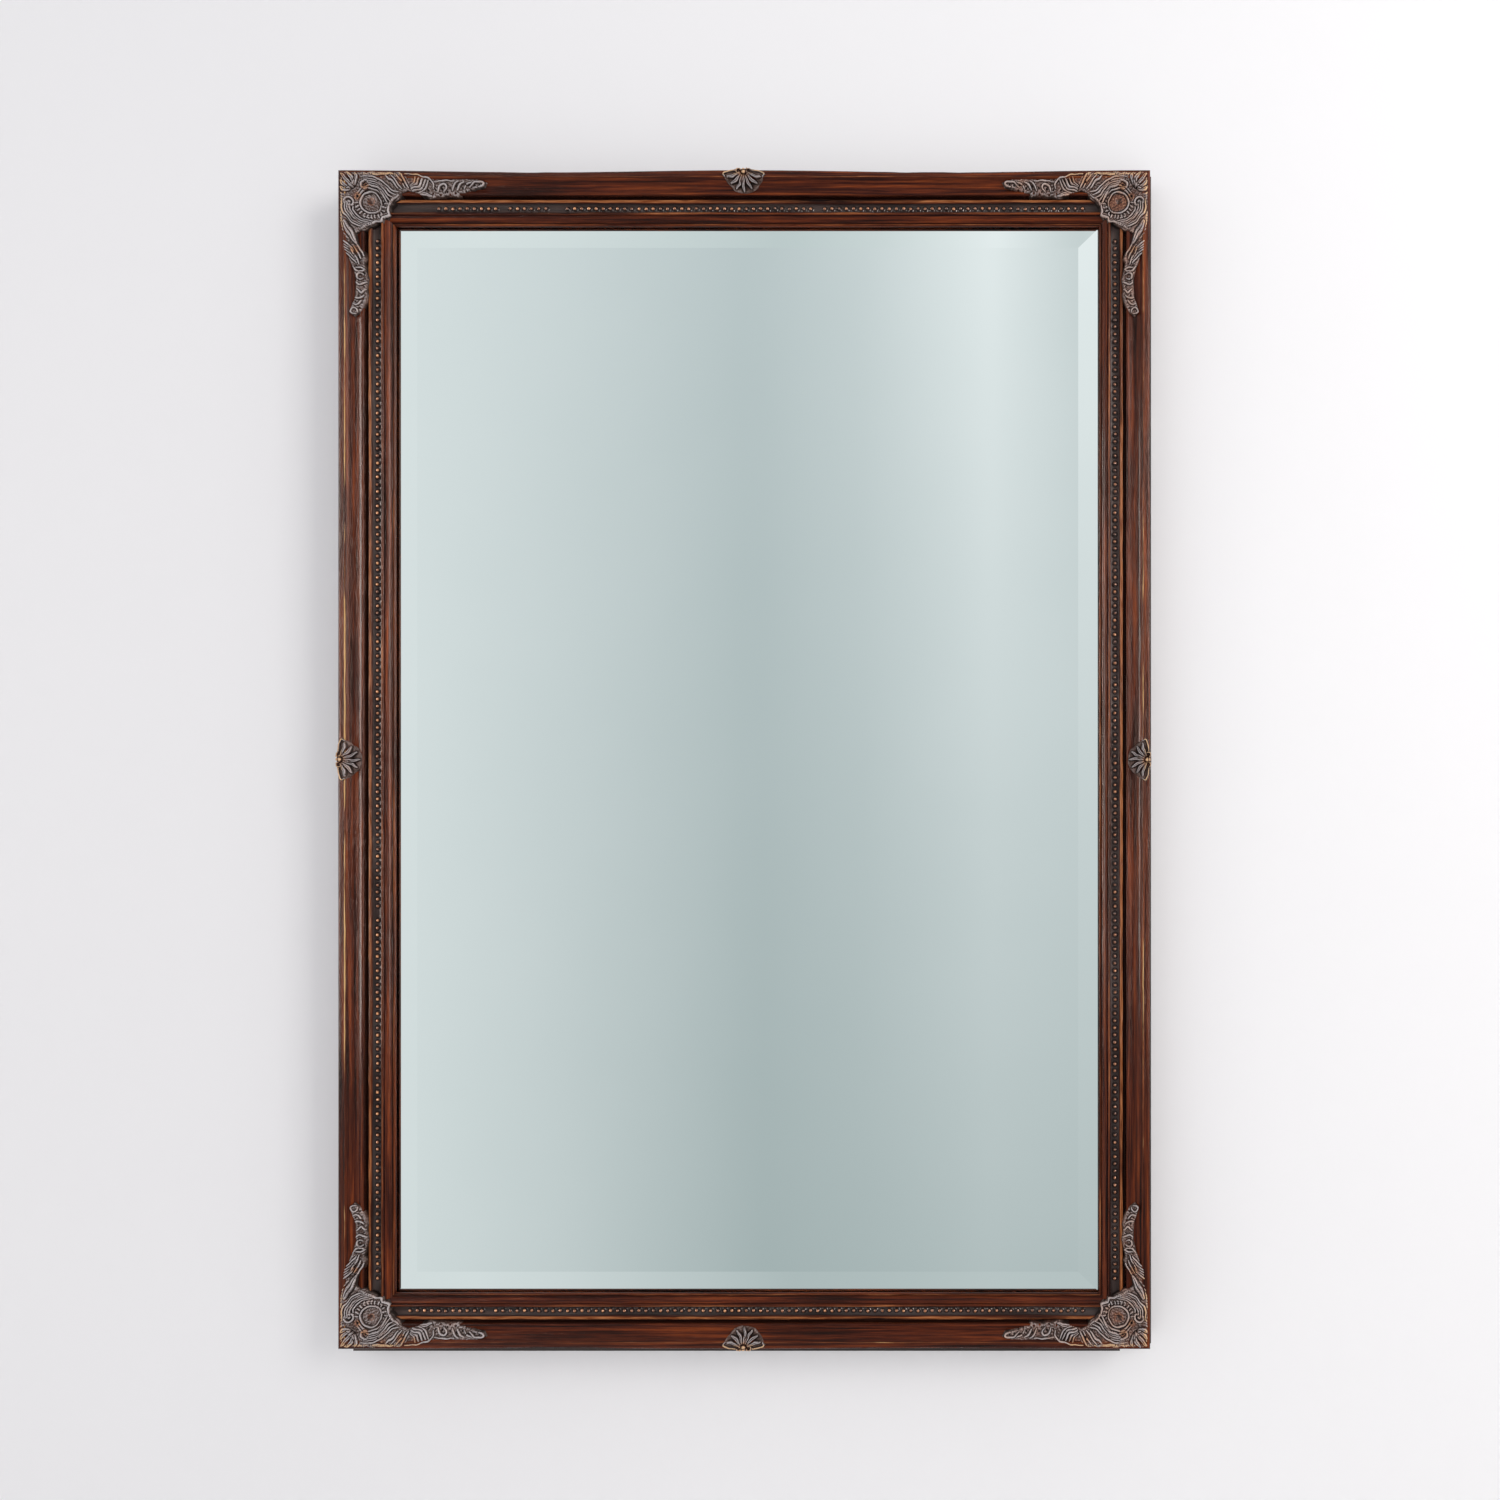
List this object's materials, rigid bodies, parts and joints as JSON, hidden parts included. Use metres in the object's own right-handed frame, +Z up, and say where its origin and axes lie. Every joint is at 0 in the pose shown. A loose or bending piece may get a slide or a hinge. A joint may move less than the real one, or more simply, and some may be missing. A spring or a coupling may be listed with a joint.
{
  "type": "framed wall mirror",
  "caption": "Tall rectangular wall mirror: bevelled plate in a mitred swept-lip wooden moulding with carved corner and mid-rail ornaments and bead courses, hung by rings at the back.",
  "frame": {"origin": "on the wall plane, behind the centre of the carved frame's outline", "axes": "+Z up along the tall side, +Y into the wall, mirror faces -Y, +X to the viewer's right"},
  "size_m": [0.692, 0.0475, 1.0185],
  "materials": {
    "stained_rail": "dark walnut stain with rubbed edges, satin wax",
    "gilt_beads": "coppery brown paint, rubbed",
    "limed_carving": "grey limed patina over dark stain, matte",
    "silvered_glass": "silvered float glass with a wide ground bevel",
    "hardboard": "plain pressed board",
    "back_batten": "sawn softwood, dark stained",
    "iron_nail": "plain drawn steel",
    "zinc_point": "zinc coated sheet",
    "plated_steel": "nickel plated",
    "rubber_pad": "moulded, matte"
  },
  "bodies": {
    "mirror": {"top_rail": "stained_rail", "top_bead_course": "gilt_beads", "top_shell_ornament": "limed_carving", "top_back_batten": "back_batten", "right_rail": "stained_rail", "right_bead_course": "gilt_beads", "right_shell_ornament": "limed_carving", "right_back_batten": "back_batten", "bottom_rail": "stained_rail", "bottom_bead_course": "gilt_beads", "bottom_shell_ornament": "limed_carving", "bottom_back_batten": "back_batten", "left_rail": "stained_rail", "left_bead_course": "gilt_beads", "left_shell_ornament": "limed_carving", "left_back_batten": "back_batten", "top_left_corner_ornament": "limed_carving", "top_right_corner_ornament": "limed_carving", "bottom_left_corner_ornament": "limed_carving", "bottom_right_corner_ornament": "limed_carving", "mirror_plate": "silvered_glass", "backing_board": "hardboard", "batten_nails": "iron_nail", "mitre_nails": "iron_nail", "glazing_points": "zinc_point", "hanger_straps": "plated_steel", "hanger_screws": "plated_steel", "wall_pads": "rubber_pad"},
    "left_ring": {"left_hanging_ring": "plated_steel"},
    "right_ring": {"right_hanging_ring": "plated_steel"}
  },
  "joints": [
    {"name": "left_ring_hinge", "type": "hinge", "parent": "mirror", "child": "left_ring", "pos_m": [-0.3325, -0.0033, 0.3], "axis": [1, 0, 0], "range_deg": [0, 180]},
    {"name": "right_ring_hinge", "type": "hinge", "parent": "mirror", "child": "right_ring", "pos_m": [0.3325, -0.0033, 0.3], "axis": [1, 0, 0], "range_deg": [0, 180]}
  ]
}
